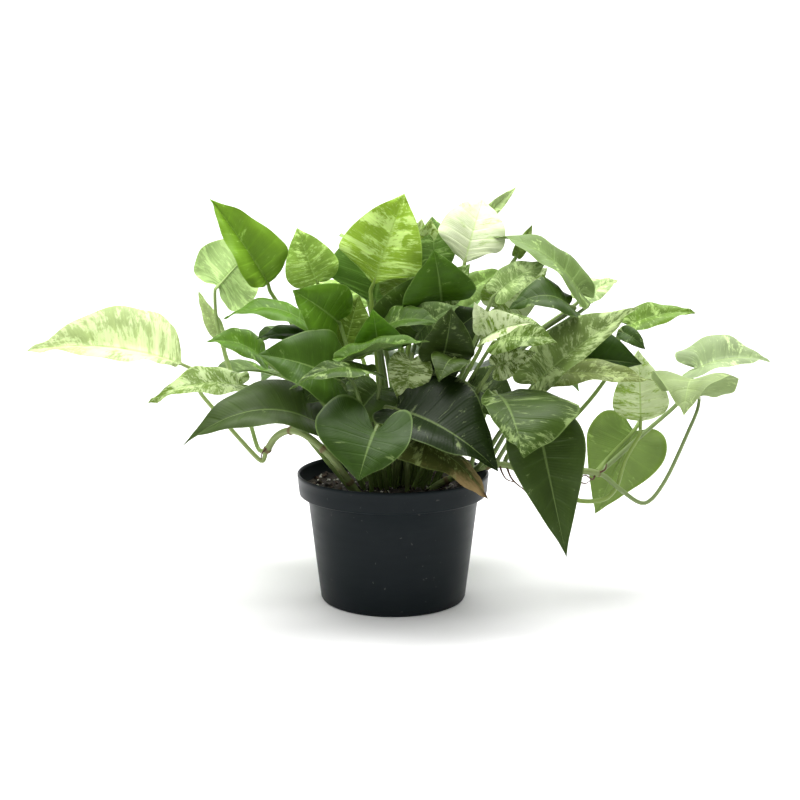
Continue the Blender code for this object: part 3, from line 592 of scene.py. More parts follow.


# Places are in millimetres, fold and twist in degrees. cream is how much of a blade is pale, and faces is
# where its upper side looks. width is a share of the length from joint to tip, arch how far the middle rises
# as a share of it, and left and right widen one half. taper narrows the blade towards the tip, lobe lengthens
# its lobes, and ripple is the wave along the margin. base is the point of a stem that a stalk grows from, and
# stalk the points it passes on its way up.
# tone is a leaf's base colour as the leaf looks where it stands, so besides its own green it holds painted
# shade: leafRightShadow, fillShade, fillShadeLeft and darkInner are as dark as the shadow they lie in, and
# leafFrontHeart and leafFrontDark are painted darker to offset the lamp they face.
leaves = {
    # painted shade: darker than its own green, to offset the lamp it faces
    "leafFrontHeart": leaf((-12, -86, 152), (-24, -110, 119), (0.026, 0.058, 0.009), 0.06,
        faces=(-0.1, -0.9, 0.3), width=1.7, fold=4, arch=0.12, left=0.75, right=1.2, lobe=3.5,
        stalk=[(-5, -20, 94), (-10, -48, 135)]),
    # painted shade: darker than its own green, to offset the lamp it faces
    "leafFrontDark": leaf((2, -52, 161), (77, -88, 121), (0.008, 0.018, 0.003), 0.12, slot="leaf_dark",
        faces=(0.2, -0.6, 0.75), width=0.95, fold=12, left=1.05, right=0.7,
        stalk=[(1, -13, 94), (1, -30, 140)]),
    "leafWilting": leaf((8, -38, 137), (72, -66, 94), (0.06, 0.075, 0.02), 0.3, slot="leaf_wilted",
        faces=(0.2, -0.5, 0.85), width=0.5, fold=-20, arch=0.15, wilt=1,
        stalk=[(11, -24, 94), (10, -28, 118)]),
    "leafFrontPaleTip": leaf((-15, -50, 188), (-74, -92, 182), (0.04, 0.08, 0.012), 0.35,
        faces=(0, -0.5, 0.9), width=0.5, arch=0.15, right=0.5, stalk=[(-10, -16, 94), (-12, -30, 150)]),
    "leafGlossyRight": leaf((77, -62, 174), (92, -122, 138), (0.04, 0.075, 0.015), 0.35, slot="leaf_dark",
        faces=(0, -0.5, 0.85), width=1.1, fold=-12, arch=0.15, left=1.35, right=0.35, taper=-0.4,
        base=(55, -12.5, 103), stalk=[(60, -24, 109), (66, -42, 145)]),
    "leafHangingRight": leaf((109, -52, 150), (130, -72, 52), (0.035, 0.065, 0.014), 0.08, slot="leaf_dark",
        faces=(-0.1, -1, 0), width=0.7, fold=6, arch=0.04, right=0.85, lobe=0.6, taper=0.5,
        base=(64, -12, 105.5), stalk=[(69, -20, 113), (84, -32, 142), (101, -40, 160)]),
    "leafLeftDrooping": leaf((-57, -35, 147), (-155, -75, 137), (0.04, 0.07, 0.02), 0.05, slot="leaf_dark",
        faces=(0, -0.55, 0.85), fold=8, arch=0.22, left=0.7, right=0.9, taper=0.4,
        stalk=[(-24, -16, 94), (-40, -24, 125)]),
    "leafLeftMottled": leaf((-117, -8, 172), (-188, -30, 161), (0.12, 0.2, 0.035), 0.6, faces=(0, -0.4, 0.9),
        width=0.55, arch=0.12, stalk=[(-36, -18, 95), (-58, -14, 121), (-76, -10, 142), (-98, -8, 162)]),
    "leafLeftFar": leaf((-166, 0, 188), (-287, 0, 198), (0.36, 0.46, 0.16), 0.62, slot="leaf_pale",
        faces=(0, -0.42, 0.9), width=0.78, fold=25, arch=0.08, left=0.65, right=0.84, lobe=0.1, twist=18,
        base=(-101, 1, 117), stalk=[(-105, 2, 110), (-121, 2, 127), (-141, 2, 151), (-153, 2, 167)]),
    "leafLeftSheen": leaf((-40, -40, 180), (-98, -75, 205), (0.045, 0.1, 0.014), 0.05, slot="leaf_dark",
        faces=(0, -0.8, 0.6), width=0.85, fold=8, right=1.1, stalk=[(-13, -13, 94), (-28, -30, 140)]),
    "leafLeftLongTip": leaf((-62, -20, 219), (-129, -30, 226), (0.07, 0.16, 0.012), 0.12,
        faces=(0, -0.4, 0.9), width=0.5, fold=0, arch=0.2),
    "leafLeftLowTip": leaf((-103, 0, 193), (-143, -20, 208), (0.08, 0.18, 0.014), 0.25, arch=0.15),
    "leafLeftUpper": leaf((-42, -21, 223), (-75, -41, 249), (0.075, 0.175, 0.012), 0.05, faces=(0.2, -1, 0.3),
        width=1.1, stalk=[(-9, -7, 94), (-26, -22, 170)]),
    "leafLeftLime": leaf((-60, 20, 250), (-76, 25, 293), (0.24, 0.4, 0.05), 0.45, slot="leaf_lime",
        faces=(0, -1, 0.2), width=0.95, arch=0.05, lobe=0.5, base=(-35, 11, 139),
        stalk=[(-35, 11, 142), (-46, 15, 195)]),
    "leafLeftFolded": leaf((-98, 10, 250), (-141, 0, 316), (0.16, 0.31, 0.022), 0.12, faces=(0.6, -1, 0.3),
        width=0.75, fold=27, arch=0.05, left=0.8, right=0.9, lobe=0.2, stalk=[(-20, 20, 94), (-48, 21, 165)]),
    "leafLeftThin": leaf((-139, 20, 247), (-104, 60, 286), (0.36, 0.52, 0.16), 0.45, slot="leaf_pale",
        faces=(0.1, 0.9, 0.3), width=0.9, fold=5, arch=0.05, base=(-101, 1, 117),
        stalk=[(-108, 9, 118), (-113, 12, 133), (-120, 16, 156), (-130, 20, 179), (-138, 22, 205),
            (-141, 20, 225)]),
    "leafTopStreaked": leaf((-15, 0, 251), (9, 5, 320), (0.24, 0.40, 0.028), 0.5, slot="leaf_lime",
        faces=(0, -1, 0.1), width=0.82, fold=12, arch=0.05, left=1.1, lobe=-0.4, taper=-0.25,
        stalk=[(-9, 4, 94), (-12, 3, 180)]),
    "leafTopBlue": leaf((-15, 30, 232), (-2, 45, 308), (0.1, 0.2, 0.045), 0.15, faces=(0, -1, 0.1),
        width=0.95, fold=5, arch=0.05, left=1.15, lobe=-0.3, base=(1, 15, 149),
        stalk=[(1, 15, 153), (-6, 24, 195)]),
    "leafTopYellow": leaf((8, 22, 240), (23, 34, 300), (0.2, 0.3, 0.05), 0.6, slot="leaf_pale",
        faces=(0.3, -1, 0.1), width=0.85, fold=15, arch=0.05, stalk=[(9, 12, 94), (8, 19, 170)]),
    "leafCentreGreen": leaf((-11, -27, 203), (-15, -42, 235), (0.065, 0.17, 0.007), 0.03,
        faces=(0, -0.9, 0.4), width=1.1, fold=5, arch=0.2, stalk=[(-3, -9, 94), (-5, -16, 150)]),
    "leafCentreEdge": leaf((-37, -52, 197), (28, -55, 212), (0.06, 0.13, 0.012), 0.3, faces=(0, -0.2, 1),
        width=0.4, fold=30, arch=0.05, stalk=[(-17, -24, 94), (-22, -34, 150), (-31, -44, 181)]),
    "leafCentreWavy": leaf((-8, -18, 219), (36, -39, 224), (0.05, 0.1, 0.02), 0.2, slot="leaf_dark",
        width=0.9, arch=0.12, left=0.75, right=0.65, lobe=0.5, stalk=[(-3, -2, 94), (-4, -7, 160)]),
    "leafCentreSheen": leaf((-4, -2, 212), (22, 4, 258), (0.045, 0.09, 0.012), 0.12, slot="leaf_dark",
        faces=(0.2, -1, 0.1), arch=0.05, stalk=[(4, 2, 94), (2, 1, 160)]),
    "leafCentreMottled": leaf((-38, -10, 200), (-26, -4, 242), (0.09, 0.16, 0.018), 0.2, faces=(0, -1, 0.2),
        width=0.95, fold=5, arch=0.05, stalk=[(-15, 2, 94), (-26, -3, 155)]),
    "leafCentreBright": leaf((38, -4, 236), (31, -21, 278), (0.05, 0.12, 0.009), 0.08, faces=(0, -1, 0.4),
        width=1.25, fold=8, arch=0.15, left=1.1, right=0.95, lobe=0.4, stalk=[(16, -6, 94), (28, -11, 170)]),
    "leafCentreDark": leaf((29, 8, 197), (72, 14, 230), (0.018, 0.036, 0.006), 0.15, slot="leaf_dark",
        faces=(0, -1, 0.3), width=1.0, fold=5, stalk=[(20, 3, 94), (24, 8, 150)]),
    "leafCentreDrooping": leaf((46, -38, 197), (34, -64, 183), (0.03, 0.055, 0.008), 0.15, slot="leaf_dark",
        width=0.95, fold=5, arch=0.2),
    "leafTopGrey": leaf((33, 20, 266), (31, 30, 302), (0.12, 0.22, 0.06), 0.35, faces=(0, -1, 0.1), width=0.9,
        arch=0.05, stalk=[(14, 8, 94), (22, 16, 190)]),
    "leafTopWhite": leaf((56, 6, 267), (72, 40, 315), (0.42, 0.55, 0.2), 0.9, slot="leaf_pale",
        faces=(0, -1, 0.5), width=0.82, arch=0.15, lobe=-0.2, taper=-0.3,
        stalk=[(10, -1, 94), (30, -1, 190)]),
    "leafRightLight": leaf((53, 22, 238), (91, 35, 258), (0.26, 0.4, 0.09), 0.3, slot="leaf_lime",
        faces=(0, -0.7, 0.6), width=0.6, stalk=[(20, 13, 94), (38, 18, 180)]),
    "leafRightBoat": leaf((80, -10, 244), (121, -5, 268), (0.2, 0.3, 0.1), 0.5, slot="leaf_pale",
        faces=(0, -0.7, 0.7), width=0.6, stalk=[(28, 0, 94), (50, -5, 170)]),
    "leafRightCream": leaf((81, 12, 230), (122, 17, 262), (0.16, 0.26, 0.045), 0.7, slot="leaf_pale",
        faces=(0, -1, 0.3), fold=5, base=(42, 12, 139), stalk=[(43, 12, 143), (60, 13, 190)]),
    "leafRightArching": leaf((146, -8, 242), (77, 5, 287), (0.14, 0.22, 0.09), 0.2, faces=(0.4, -0.5, 0.8),
        width=0.5, arch=0.15),
    "leafRightArchedDark": leaf((134, -28, 236), (86, -42, 234), (0.03, 0.065, 0.008), 0.12, slot="leaf_dark",
        fold=5, arch=0.25),
    "leafRightMottled": leaf((148, 20, 236), (180, 30, 251), (0.3, 0.42, 0.14), 0.5, width=0.7),
    "leafRightPale": leaf((67, -66, 216), (100, -84, 229), (0.12, 0.2, 0.03), 0.75, slot="leaf_pale",
        faces=(0, -0.7, 0.6), fold=30, stalk=[(17, -16, 94), (50, -28, 172), (65, -50, 206)]),
    "leafRightDark": leaf((78, -44, 211), (120, -70, 213), (0.08, 0.14, 0.025), 0.5, slot="leaf_dark",
        faces=(0, -0.8, 0.6), arch=0.15, right=0.8, stalk=[(22, -6, 94), (50, -18, 160)]),
    "leafRightCupped": leaf((76, -53, 193), (106, -63, 205), (0.08, 0.13, 0.025), 0.6, slot="leaf_pale",
        faces=(0, -0.9, 0.4), left=0.8, stalk=[(24, -14, 94), (50, -28, 145)]),
    "leafRightLarge": leaf((106, -35, 176), (182, -55, 238), (0.12, 0.18, 0.07), 0.5, faces=(-0.3, -0.7, 0.6),
        width=0.5, arch=0.05, left=1.1, right=0.6, base=(72, -10.5, 107.5),
        stalk=[(76, -16, 115), (88, -26, 140)]),
    # painted shade: its tone is as dark as the shadow it lies in
    "leafRightShadow": leaf((130, -5, 193), (191, -25, 191), (0.018, 0.045, 0.003), 0.04, slot="leaf_dark",
        faces=(0, -1, 0.3), fold=5, left=1.2, right=0.5, base=(88, -7, 108),
        stalk=[(90, -4, 114), (108, -4, 145)]),
    "leafRightBright": leaf((185, 10, 217), (239, 10, 227), (0.11, 0.2, 0.03), 0.4, width=0.5,
        base=(96, -5, 106.5),
        stalk=[(99, 1, 113), (121, 5, 122), (142, 10, 141), (162, 12, 164), (175, 12, 186)]),
    "leafRightNarrow": leaf((117, -25, 183), (197, -45, 181), (0.16, 0.21, 0.08), 0.45, slot="leaf_pale",
        faces=(0, -0.5, 0.8), width=0.5, arch=0.05, taper=0.4, base=(80, -9, 109),
        stalk=[(83, -11, 115), (98, -16, 145)]),
    "leafVineFront": leaf((243, 12, 160), (219, -48, 155), (0.21, 0.28, 0.13), 0.15, slot="leaf_lime",
        faces=(-0.08, -0.1, 1), width=1.05, fold=8, arch=0.32, base=(165, 15, 96),
        stalk=[(171, 15, 94), (183, 12, 84), (203, 10, 73), (219, 10, 92), (237, 12, 133), (243, 13, 148)]),
    "leafVineFar": leaf((243, 25, 180), (303, 23, 186), (0.25, 0.33, 0.16), 0.25, slot="leaf_lime",
        faces=(0, -0.4, 0.9), width=0.9, fold=20, arch=0.12, lobe=1.8, base=(165, 15.5, 97),
        stalk=[(172, 24, 99), (200, 30, 123), (233, 34, 152), (242, 31, 170)]),
    "leafVineHeart": leaf((200, 23, 138), (198, 33, 195), (0.24, 0.36, 0.06), 0.75, slot="leaf_pale",
        faces=(0, -1, 0), fold=5, arch=0.03, lobe=0.1, base=(136, 10, 91),
        stalk=[(140, 20, 82), (151, 20, 73), (171, 20, 74), (181, 20, 84), (188, 20, 107), (199, 20, 128)]),
    "leafVineLime": leaf((199, 44, 127), (166, 30, 59), (0.2, 0.31, 0.06), 0.15, slot="leaf_lime",
        faces=(0, 1, -0.1), width=0.95, fold=5, arch=0.03, taper=0.35, base=(165, 16, 98),
        stalk=[(172, 28, 102), (182, 32, 112), (195, 33, 126)]),
    "leafBackLowLeft": leaf((-60, 85, 165), (-120, 150, 150), (0.05, 0.12, 0.014), 0.2,
        faces=(-0.1, 0.4, 0.9), fold=8, arch=0.12),
    "leafBackLowMiddle": leaf((0, 95, 180), (5, 180, 160), (0.07, 0.16, 0.014), 0.3, faces=(0, 0.4, 0.9),
        fold=8, arch=0.12, base=(0, 45.5, 133), stalk=[(0, 47, 137), (0, 70, 162)]),
    "leafBackLowRight": leaf((60, 90, 168), (115, 155, 150), (0.03, 0.07, 0.01), 0.12, slot="leaf_dark",
        faces=(0.1, 0.4, 0.9), fold=8, arch=0.12, stalk=[(20, 24, 94), (34, 46, 140)]),
    "leafBackHighLeft": leaf((-40, 60, 225), (-70, 130, 240), (0.2, 0.34, 0.05), 0.4, slot="leaf_lime",
        faces=(0, -0.1, 1), fold=8, arch=0.12),
    "leafBackHighRight": leaf((40, 65, 220), (60, 135, 235), (0.08, 0.18, 0.02), 0.25, faces=(0, -0.1, 1),
        fold=8, arch=0.12, stalk=[(14, 20, 94), (26, 34, 170)]),
    # small leaves and tips between the others, which stand for no CAD node
    "fillCrumpled": leaf((38, -26, 196), (44, -38, 236), (0.028, 0.05, 0.012), 0.2, faces=(0.2, -1, 0.15),
        width=1.05, fold=14, ripple=3.0 * mm),
    "fillDarkLeft": leaf((-10, -22, 172), (-34, -48, 140), (0.045, 0.085, 0.016), 0.25,
        faces=(-0.1, -0.8, 0.6), width=0.95, fold=8, arch=0.14),
    "fillMottled": leaf((14, -30, 196), (8, -42, 158), (0.11, 0.17, 0.045), 0.6, faces=(0.1, -1, 0.3),
        width=0.85, fold=8, arch=0.12),
    "fillBlueGrey": leaf((20, -18, 214), (50, -30, 236), (0.09, 0.15, 0.065), 0.35, faces=(0, -0.8, 0.6),
        width=0.9, arch=0.14, ripple=2.5 * mm),
    "fillDarkRight": leaf((58, -28, 176), (92, -48, 150), (0.03, 0.055, 0.012), 0.3, faces=(0.1, -0.8, 0.6),
        width=0.95, fold=8, arch=0.14),
    # painted shade: fillShade and fillShadeLeft are as dark as the shadow they lie in
    "fillShade": leaf((30, -24, 168), (58, -52, 146), (0.02, 0.04, 0.008), 0.15, faces=(0, -0.8, 0.6),
        width=0.95, fold=8, arch=0.14),
    "fillShadeLeft": leaf((-36, -14, 178), (-74, -22, 158), (0.03, 0.06, 0.01), 0.15, faces=(-0.1, -0.7, 0.7),
        width=0.85, fold=8, arch=0.14),
    "fillYellow": leaf((24, 30, 262), (30, 24, 300), (0.22, 0.33, 0.05), 0.6, faces=(0.2, -1, 0.1),
        width=0.85, arch=0.08),
    "tipBehindWhite": leaf((75, 40, 303), (99, 45, 325), (0.42, 0.56, 0.20), 0.3, faces=(0.3, -1, 0.3),
        width=0.34, fold=20, arch=0.05, base=(60, 38, 270), stalk=[(66, 39, 288)]),
    "palePinchLeft": leaf((-139, 30, 207), (-156, 30, 243), (0.40, 0.52, 0.18), 0.4, faces=(-0.3, -1, 0.2),
        width=0.36, fold=12, arch=0.05, base=(-132, 28, 180), stalk=[(-136, 29, 194)]),
    "darkBehindLeft": leaf((-45, -4, 204), (-105, -24, 210), (0.03, 0.07, 0.01), 0.1, faces=(0, -0.5, 0.9),
        width=0.5, fold=8, arch=0.12),
    "bluishTip": leaf((37, -4, 239), (60, 2, 266), (0.10, 0.18, 0.05), 0.5, faces=(0, -1, 0.2), width=0.7,
        fold=8, arch=0.08),
    # painted shade: as dark as the shadow inside the crown
    "darkInner": leaf((32, -18, 185), (59, -24, 212), (0.02, 0.04, 0.008), 0.1, faces=(0, -1, 0.3), fold=8),
    "creamSmall": leaf((67, -62, 222), (59, -72, 243), (0.3, 0.4, 0.14), 0.8, faces=(0, -1, 0.4), width=0.7,
        fold=12, base=(66, -54, 210), stalk=[(67, -58, 216)]),
    "greyTipRight": leaf((52, 26, 282), (70, 30, 286), (0.20, 0.28, 0.12), 0.3, faces=(0, -1, 0.2), width=0.5,
        base=(40, 22, 262), stalk=[(46, 24, 272)]),
    "tipAboveArch": leaf((98, 20, 272), (110, 22, 296), (0.14, 0.22, 0.06), 0.2, faces=(0, -1, 0.1),
        width=0.4, base=(86, 16, 250), stalk=[(92, 18, 262)]),
    "curledTipRight": leaf((178, -6, 214), (196, -10, 200), (0.04, 0.08, 0.02), 0.15, faces=(0.2, -1, 0.2),
        width=0.6, arch=0.2, base=(168, 2, 190), stalk=[(174, -2, 204)]),
    "backLowOuterLeft": leaf((-95, 60, 170), (-165, 92, 150), (0.09, 0.18, 0.03), 0.35,
        faces=(-0.2, 0.3, 0.9), arch=0.14),
    "backLowOuterRight": leaf((98, 58, 175), (160, 95, 150), (0.06, 0.14, 0.02), 0.2, faces=(0.2, 0.3, 0.9),
        arch=0.14),
    "backMiddleLeft": leaf((-62, 55, 200), (-118, 100, 192), (0.05, 0.11, 0.015), 0.15,
        faces=(-0.2, 0.3, 0.9), width=0.75, arch=0.12),
    "backMiddleRight": leaf((70, 52, 205), (120, 92, 198), (0.12, 0.2, 0.04), 0.5, faces=(0.2, 0.3, 0.9),
        width=0.75, arch=0.12),
    "backCentre": leaf((6, 72, 208), (2, 132, 198), (0.04, 0.10, 0.014), 0.1, faces=(0, 0.3, 1), width=0.85,
        arch=0.14),
    "backTopLeft": leaf((-24, 48, 258), (-46, 92, 284), (0.2, 0.34, 0.05), 0.4, faces=(-0.1, 0.6, 0.7),
        fold=12),
    "backTopRight": leaf((22, 50, 262), (40, 95, 282), (0.08, 0.17, 0.02), 0.25, faces=(0.1, 0.6, 0.7),
        fold=12),
}


stemShape = {
    "radius": 3.0 * mm,
    "nodeEvery": 34 * mm,
    "nodeSwell": 0.35,
    "nodeSharpness": 18,
    "endShare": 0.6,  # how much of the radius is left at the free end
    "tone": (0.26, 0.34, 0.11),
    "blotchTone": (0.20, 0.16, 0.07),
    "ringTone": (0.16, 0.10, 0.045),
    "sides": 14,
    "stepsPerBend": 16,
}
stems = {  # millimetres
    "stemTrailingLeft": [
        (-24, -27, 86), (-34, -31, 101), (-48, -34, 121), (-66, -30, 136), (-80, -18, 138), (-92, -8, 131),
        (-101, 1, 117)],
    "stemTrailingRight": [
        (28, -11, 88), (38, -12, 95), (61, -12, 105), (80, -9, 109), (96, -5, 106), (111, 0, 96),
        (134, 8, 93), (152, 12, 99), (167, 15.5, 96)],
    "stemMiddle": [(2, 10, 86), (2, 12, 120), (1, 15, 150)],
    "stemLeft": [(-22, 8, 86), (-28, 9, 115), (-35, 11, 139)],
    "stemRight": [(25, 6, 86), (32, 8, 115), (42, 12, 140)],
    "stemBack": [(0, 26, 86), (0, 34, 115), (0, 46, 134)],
}


def addStem(name, route, paint):
    path = smoothPath([Vector(point) * mm for point in route], stemShape["stepsPerBend"])
    radii = []
    run = 0
    for index, place in enumerate(path):
        run += (place - path[max(index - 1, 0)]).length
        phase = (run / stemShape["nodeEvery"]) % 1
        swell = max(0, 1 - abs(phase - 0.5) * stemShape["nodeSharpness"])
        radii.append(stemShape["radius"] * (0.93 + stemShape["nodeSwell"] * swell))
    radii[-1] *= stemShape["endShare"]
    shell = Shell()
    addTube(shell, path, radii, stemShape["tone"], stemShape["sides"], 0)
    addPiece(name, shell.mesh(name), [paint], nodeName(name))


def stemPaint():
    paint = Paint("stem")
    along, side, _ = paint.split(paint.node("UVMap", {"uv_map": "surface"}))
    streak = paint.noise(paint.place(along * 2, side * 20, 1.0), 1, 4)
    blotch = paint.noise(paint.spot(), 70, 4)
    ring = 1 - paint.rise(abs((along * (0.1 / stemShape["nodeEvery"])).fraction() - 0.5), 0.02, 0.09)
    color = paint.times(stemShape["tone"], streak * 0.9 + 0.45)
    color = paint.mix(paint.rise(blotch, 0.62, 0.75) * 0.5, color, stemShape["blotchTone"])
    color = paint.mix(ring * 0.85, color, stemShape["ringTone"])
    paint.bump(streak - ring * 0.6 + blotch * 0.4, 0.4, 0.8 * mm)
    paint.finish(color, blotch * 0.2 + 0.4 + ring * 0.2)
    return paint.material


airRoots = {
    "tone": (0.10, 0.045, 0.025),
    "darkTone": (0.05, 0.022, 0.014),
    "lightTone": (0.17, 0.08, 0.045),
    "radius": 0.9 * mm,
    "narrowing": 0.6,  # the share of the radius lost by the end
    "sides": 8,
    "stepsPerBend": 6,
    "paths": [
        [(90, -8, 106), (93, -12, 99), (98, -14, 94), (103, -14, 90), (106, -13, 86)],
        [(84, -10, 108), (86, -14, 103), (89, -17, 99), (95, -18, 97)],
        [(146, 10, 97), (149, 6, 92), (154, 4, 91), (158, 6, 93)],
        [(163, 14, 96), (160, 9, 93), (154, 6, 97), (149, 4, 95)],
        [(166, 15, 97), (170, 10, 101), (171, 8, 106)],
        [(-99, -2, 122), (-103, -6, 118), (-104, -8, 113)],
    ],
}


def addAirRoots():
    paint = Paint("airRoot")
    grain = paint.noise(paint.spot(), 500, 4)
    paint.bump(grain, 0.5, 0.6 * mm)
    paint.finish(paint.mix(grain, airRoots["darkTone"], airRoots["lightTone"]), 0.7)
    for index, route in enumerate(airRoots["paths"]):
        path = smoothPath([Vector(point) * mm for point in route], airRoots["stepsPerBend"])
        radius, loss = airRoots["radius"], airRoots["narrowing"]
        radii = [radius * (1 - loss * step / len(path)) for step in range(len(path))]
        shell = Shell()
        addTube(shell, path, radii, airRoots["tone"], airRoots["sides"], 0)
        name = "airRoot" + str(index + 1)
        addPiece(name, shell.mesh(name), [paint.material])


pot = {
    "height": 102 * mm,
    "rim": 76 * mm,
    "base": 58 * mm,
    "bodyTop": 68 * mm,
    "collar": 17 * mm,
    "collarTaper": 1.5 * mm,
    "wall": 1.2 * mm,
    "floor": 2 * mm,
    "sides": 144,
    "holes": 8,
    "holeRadius": 3.5 * mm,
    "holeRing": 50 * mm,
    "darkTone": (0.004, 0.0075, 0.0095),
    "lightTone": (0.008, 0.0125, 0.0145),
    "dustTone": (0.10, 0.10, 0.09),
    "shine": 0.12,
}


def turned(name, profile, sides):
    # profile is (radius, height) from axis to axis, and a height may be worked out from x and y
    shell = Shell()
    rings = []
    for index, (radius, height) in enumerate(profile):
        ring = []
        for side in range(sides if radius else 1):
            turn = 2 * pi * side / sides
            x, y = radius * cos(turn), radius * sin(turn)
            z = height(x, y) if callable(height) else height
            ring.append(shell.point((x, y, z), (side / sides, index / (len(profile) - 1)), (0, 0, 0)))
        rings.append(ring if radius else ring * sides)
    joinRings(shell, rings)
    return shell.mesh(name)


def potProfile():
    height, rim, base, bodyTop, wall = [pot[key] for key in ("height", "rim", "base", "bodyTop", "wall")]
    shoulder = height - pot["collar"]
    low = rim - pot["collarTaper"]
    points = [(0, 0.8), (44, 0.8), (45, 0), (56, 0), (57.3, 0.5)]  # the foot
    points = [(radius * mm, level * mm) for radius, level in points]
    for share in (0, 0.25, 0.5, 0.75):  # up the outside
        points.append((base + (bodyTop - base) * share, 1.8 * mm + (shoulder - 2.6 * mm) * share))
    points += [
        (bodyTop - 0.1 * mm, shoulder - 0.8 * mm), (bodyTop + 0.7 * mm, shoulder - 0.1 * mm),
        (low - 0.6 * mm, shoulder), (low, shoulder + 0.6 * mm),  # the collar
        (low + 0.2 * mm, shoulder + 2.2 * mm), (low + 0.9 * mm, shoulder + 9 * mm),
        (rim - 0.35 * mm, height - 3.2 * mm), (rim, height - 2.6 * mm), (rim, height - 0.8 * mm),
        (rim - 0.4 * mm, height - 0.15 * mm), (rim - 0.9 * mm, height),  # over the rim
        (rim - wall - 0.4 * mm, height - 0.5 * mm), (rim - wall - 0.5 * mm, height - 3 * mm),
        (low - wall, shoulder + wall + 0.6 * mm), (low - wall - 0.8 * mm, shoulder + wall),  # down the inside
        (bodyTop - wall, shoulder + wall), (base - wall + 0.3 * mm, pot["floor"]), (0, pot["floor"]),
    ]
    return points


def cutHoles(piece):  # drain holes round the edge of the floor
    shape = bmesh.new()
    radius, ring = pot["holeRadius"], pot["holeRing"]
    for hole in range(pot["holes"]):
        turn = 2 * pi * (hole + 0.5) / pot["holes"]
        made = bmesh.ops.create_cone(
            shape, cap_ends=True, segments=24, radius1=radius, radius2=radius, depth=8 * mm)
        bmesh.ops.translate(shape, verts=made["verts"], vec=(ring * cos(turn), ring * sin(turn), mm))
    mesh = bpy.data.meshes.new("holeCutter")
    shape.to_mesh(mesh)
    shape.free()
    cutter = bpy.data.objects.new("holeCutter", mesh)
    bpy.context.scene.collection.objects.link(cutter)
    cut = piece.modifiers.new("drainHoles", "BOOLEAN")
    cut.object = cutter
    bpy.context.view_layer.objects.active = piece
    bpy.ops.object.modifier_apply(modifier=cut.name)
    bpy.data.objects.remove(cutter, do_unlink=True)


def addPot():
    paint = Paint("potPlastic")
    place = paint.spot()
    x, y, z = paint.split(place)
    scuff = paint.noise(paint.place(x, y, z * 7), 30, 5, 0.6)
    grain = paint.noise(place, 700, 3)
    dust = paint.rise(paint.noise(place, 240, 2, 0.5, 0.4), 0.70, 0.76)
    color = paint.mix(scuff, pot["darkTone"], pot["lightTone"])
    color = paint.mix(dust * 0.35, color, pot["dustTone"])
    paint.bump(grain * 0.5 + scuff * 0.4, 0.12, 0.5 * mm)
    paint.finish(color, scuff * 0.16 + 0.34 + dust * 0.2, Specular_IOR_Level=pot["shine"])
    mesh = turned("potBody", potProfile(), pot["sides"])
    cutHoles(addPiece("potBody", mesh, [paint.material], "pot"))


soil = {
    "top": 89 * mm,
    "dome": 2 * mm,
    "radius": 72.6 * mm,
    "rings": 44,
    "spokes": 120,
    "rough": 2.6 * mm,
    "under": [  # radius and height, down the pot's wall and across its floor
        (72.6 * mm, 86.8 * mm), (66.2 * mm, 86.6 * mm), (57 * mm, 2.4 * mm), (0, 2.4 * mm),
    ],
    "darkTone": (0.006, 0.005, 0.004),
    "lightTone": (0.045, 0.032, 0.022),
}
grains = {  # flat is the height of a grain as a share of its width
    "perlite": dict(count=150, smallest=0.5 * mm, largest=1.5 * mm, flat=0.8, seed=3,
        tones=((0.42, 0.40, 0.36), (0.70, 0.68, 0.63))),
    "barkChips": dict(count=260, smallest=0.9 * mm, largest=3.2 * mm, flat=0.45, seed=8,
        tones=((0.010, 0.007, 0.005), (0.06, 0.036, 0.022))),
}
grainRange = 0.97  # how near the soil's edge they lie
grainUneven = 0.35
grainRise = 0.4  # how far a grain's centre lies above the soil, as a share of half its height


def soilHeight(x, y):
    reach = (x * x + y * y) ** 0.5 / soil["radius"]
    height = soil["top"] + soil["dome"] * max(0, 1 - reach**2)
    spot = Vector((x, y, 0))
    return height + soil["rough"] * (noise.noise(spot * 60) + 0.5 * noise.noise(spot * 190))


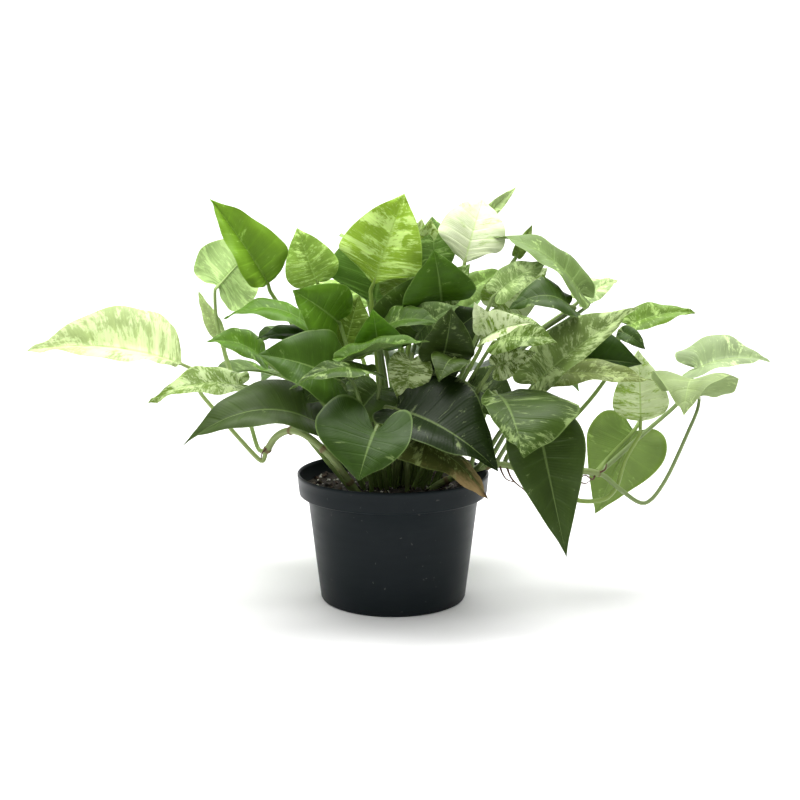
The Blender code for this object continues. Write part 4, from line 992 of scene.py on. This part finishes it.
def addSoil():
    paint = Paint("soilMix")
    place = paint.spot()
    clod = paint.noise(place, 130, 6, 0.7)
    fine = paint.noise(place, 900, 4, 0.7)
    paint.bump(clod + fine * 0.5, 0.9, 3 * mm)
    paint.finish(paint.mix(clod, soil["darkTone"], soil["lightTone"]), 0.92)
    top = [(soil["radius"] * ring / soil["rings"], soilHeight) for ring in range(soil["rings"] + 1)]
    mesh = turned("soilBed", top + soil["under"], soil["spokes"])
    addPiece("soilBed", mesh, [paint.material], "potting_soil")


def addGrains(name, count, smallest, largest, flat, seed, tones):  # loose lumps on the soil
    chance = random.Random(seed)
    shape = bmesh.new()
    for _ in range(count):
        reach = soil["radius"] * grainRange * chance.random() ** 0.5
        turn = chance.uniform(0, 2 * pi)
        size = chance.uniform(smallest, largest)
        made = bmesh.ops.create_icosphere(shape, subdivisions=1, radius=size)
        spin = Euler([chance.uniform(0, 2 * pi) for _ in range(3)])
        x, y = reach * cos(turn), reach * sin(turn)
        for vertex in made["verts"]:
            vertex.co *= 1 + grainUneven * chance.uniform(-1, 1)
            vertex.co.z *= flat
        place = (x, y, soilHeight(x, y) + size * flat * grainRise)
        bmesh.ops.rotate(shape, verts=made["verts"], matrix=spin.to_matrix())
        bmesh.ops.translate(shape, verts=made["verts"], vec=place)
    mesh = bpy.data.meshes.new(name)
    shape.to_mesh(mesh)
    shape.free()
    paint = Paint(name)
    spot = paint.spot()
    paint.bump(paint.noise(spot, 1500, 3), 0.5, 0.6 * mm)
    paint.finish(paint.mix(paint.rise(paint.noise(spot, 260, 3), 0.35, 0.65), *tones), 0.85)
    addPiece(name, mesh, [paint.material])


setStudio()
print("studio ready")
blade, stalk = leafPaint(), stalkPaint()
seedStep = 0.618  # spreads the leaves' seeds between 0 and 1
for number, (name, spec) in enumerate(leaves.items()):
    addLeaf(name, spec, round((number * seedStep) % 1, 3), [blade, stalk])
print("leaves ready:", len(leaves))
bark = stemPaint()
for name, route in stems.items():
    addStem(name, route, bark)
addAirRoots()
print("stems ready")
addPot()
addSoil()
for name, spec in grains.items():
    addGrains(name, **spec)
print("pot and soil ready")
